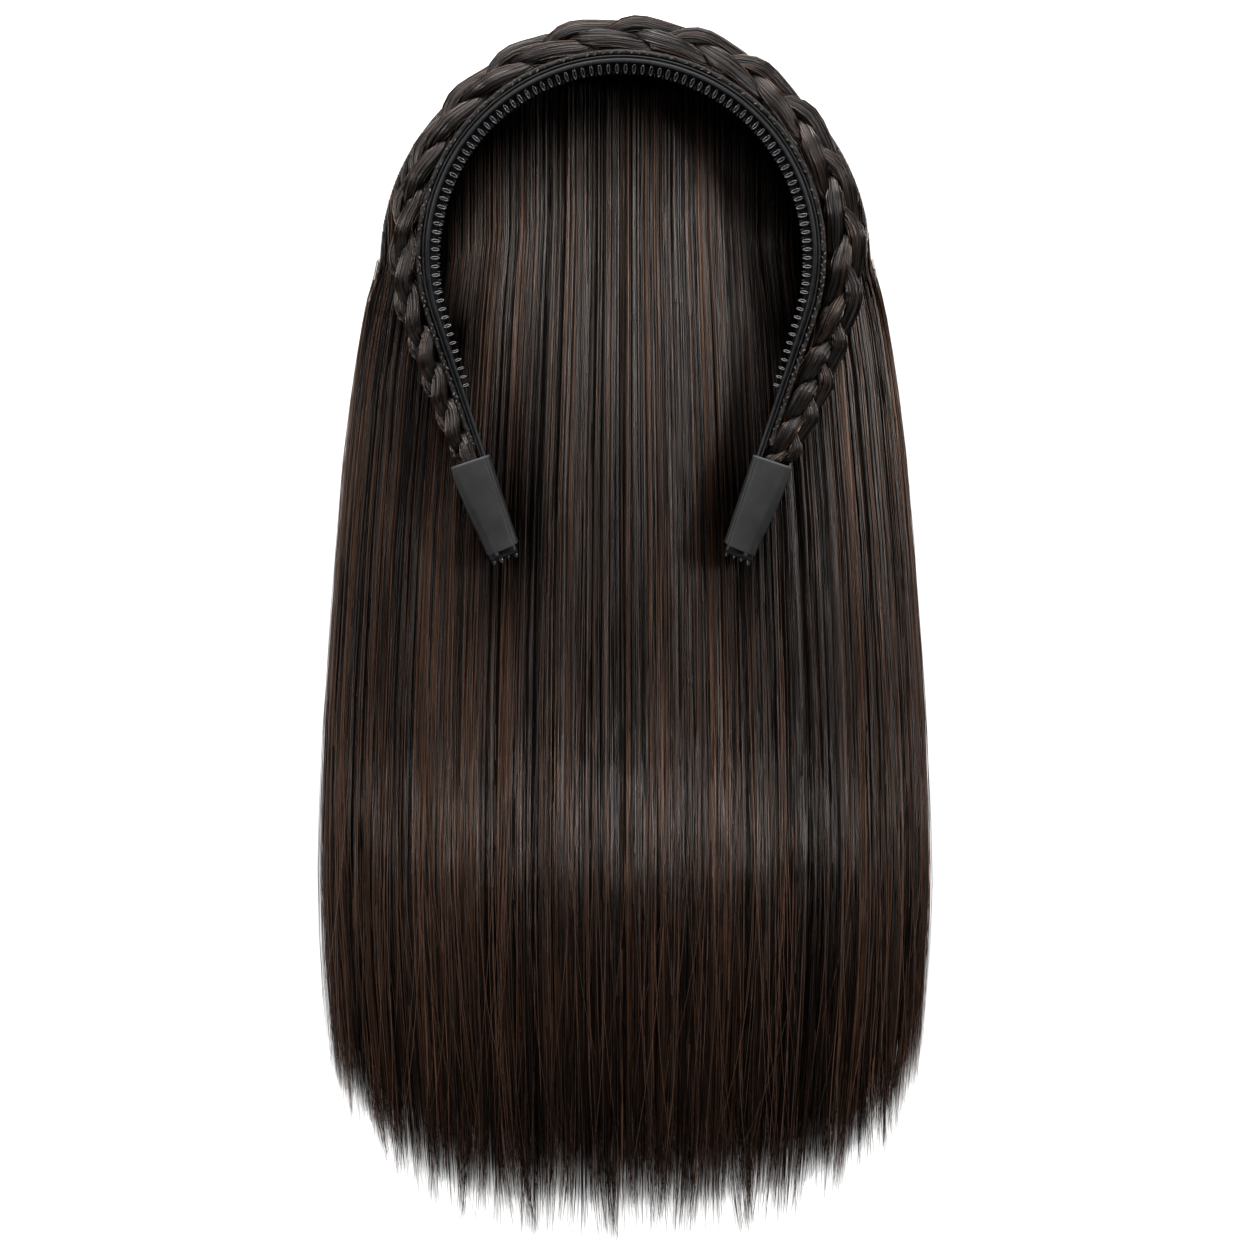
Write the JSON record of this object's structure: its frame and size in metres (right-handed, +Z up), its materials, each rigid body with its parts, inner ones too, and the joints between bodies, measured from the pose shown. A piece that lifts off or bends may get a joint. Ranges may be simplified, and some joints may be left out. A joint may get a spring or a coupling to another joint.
{
  "type": "headband hair extension",
  "caption": "C-shaped toothed plastic headband with a braid round its outside, tip sleeves and a long fall of straight dark hair, lying flat.",
  "frame": {"origin": "middle of the part's box on the surface that the hair lies on", "axes": "+Y from the hair's ends to the crown of the band, +Z up from the surface, +X to the right seen from above"},
  "size_m": [0.1966, 0.3996, 0.0324],
  "materials": {
    "black_plastic": "glossy moulded black plastic",
    "hair": "straight dark brown synthetic hair with a soft sheen",
    "weft": "machine-stitched hair roots",
    "sleeve": "matte charcoal shrunk sleeve"
  },
  "bodies": {
    "root": {"hoop": "black_plastic", "weft_track": "weft", "braid_strand_1": "hair", "braid_strand_2": "hair", "braid_strand_3": "hair", "sleeve_left": "sleeve", "sleeve_right": "sleeve", "hair_fall": "hair"}
  },
  "joints": []
}
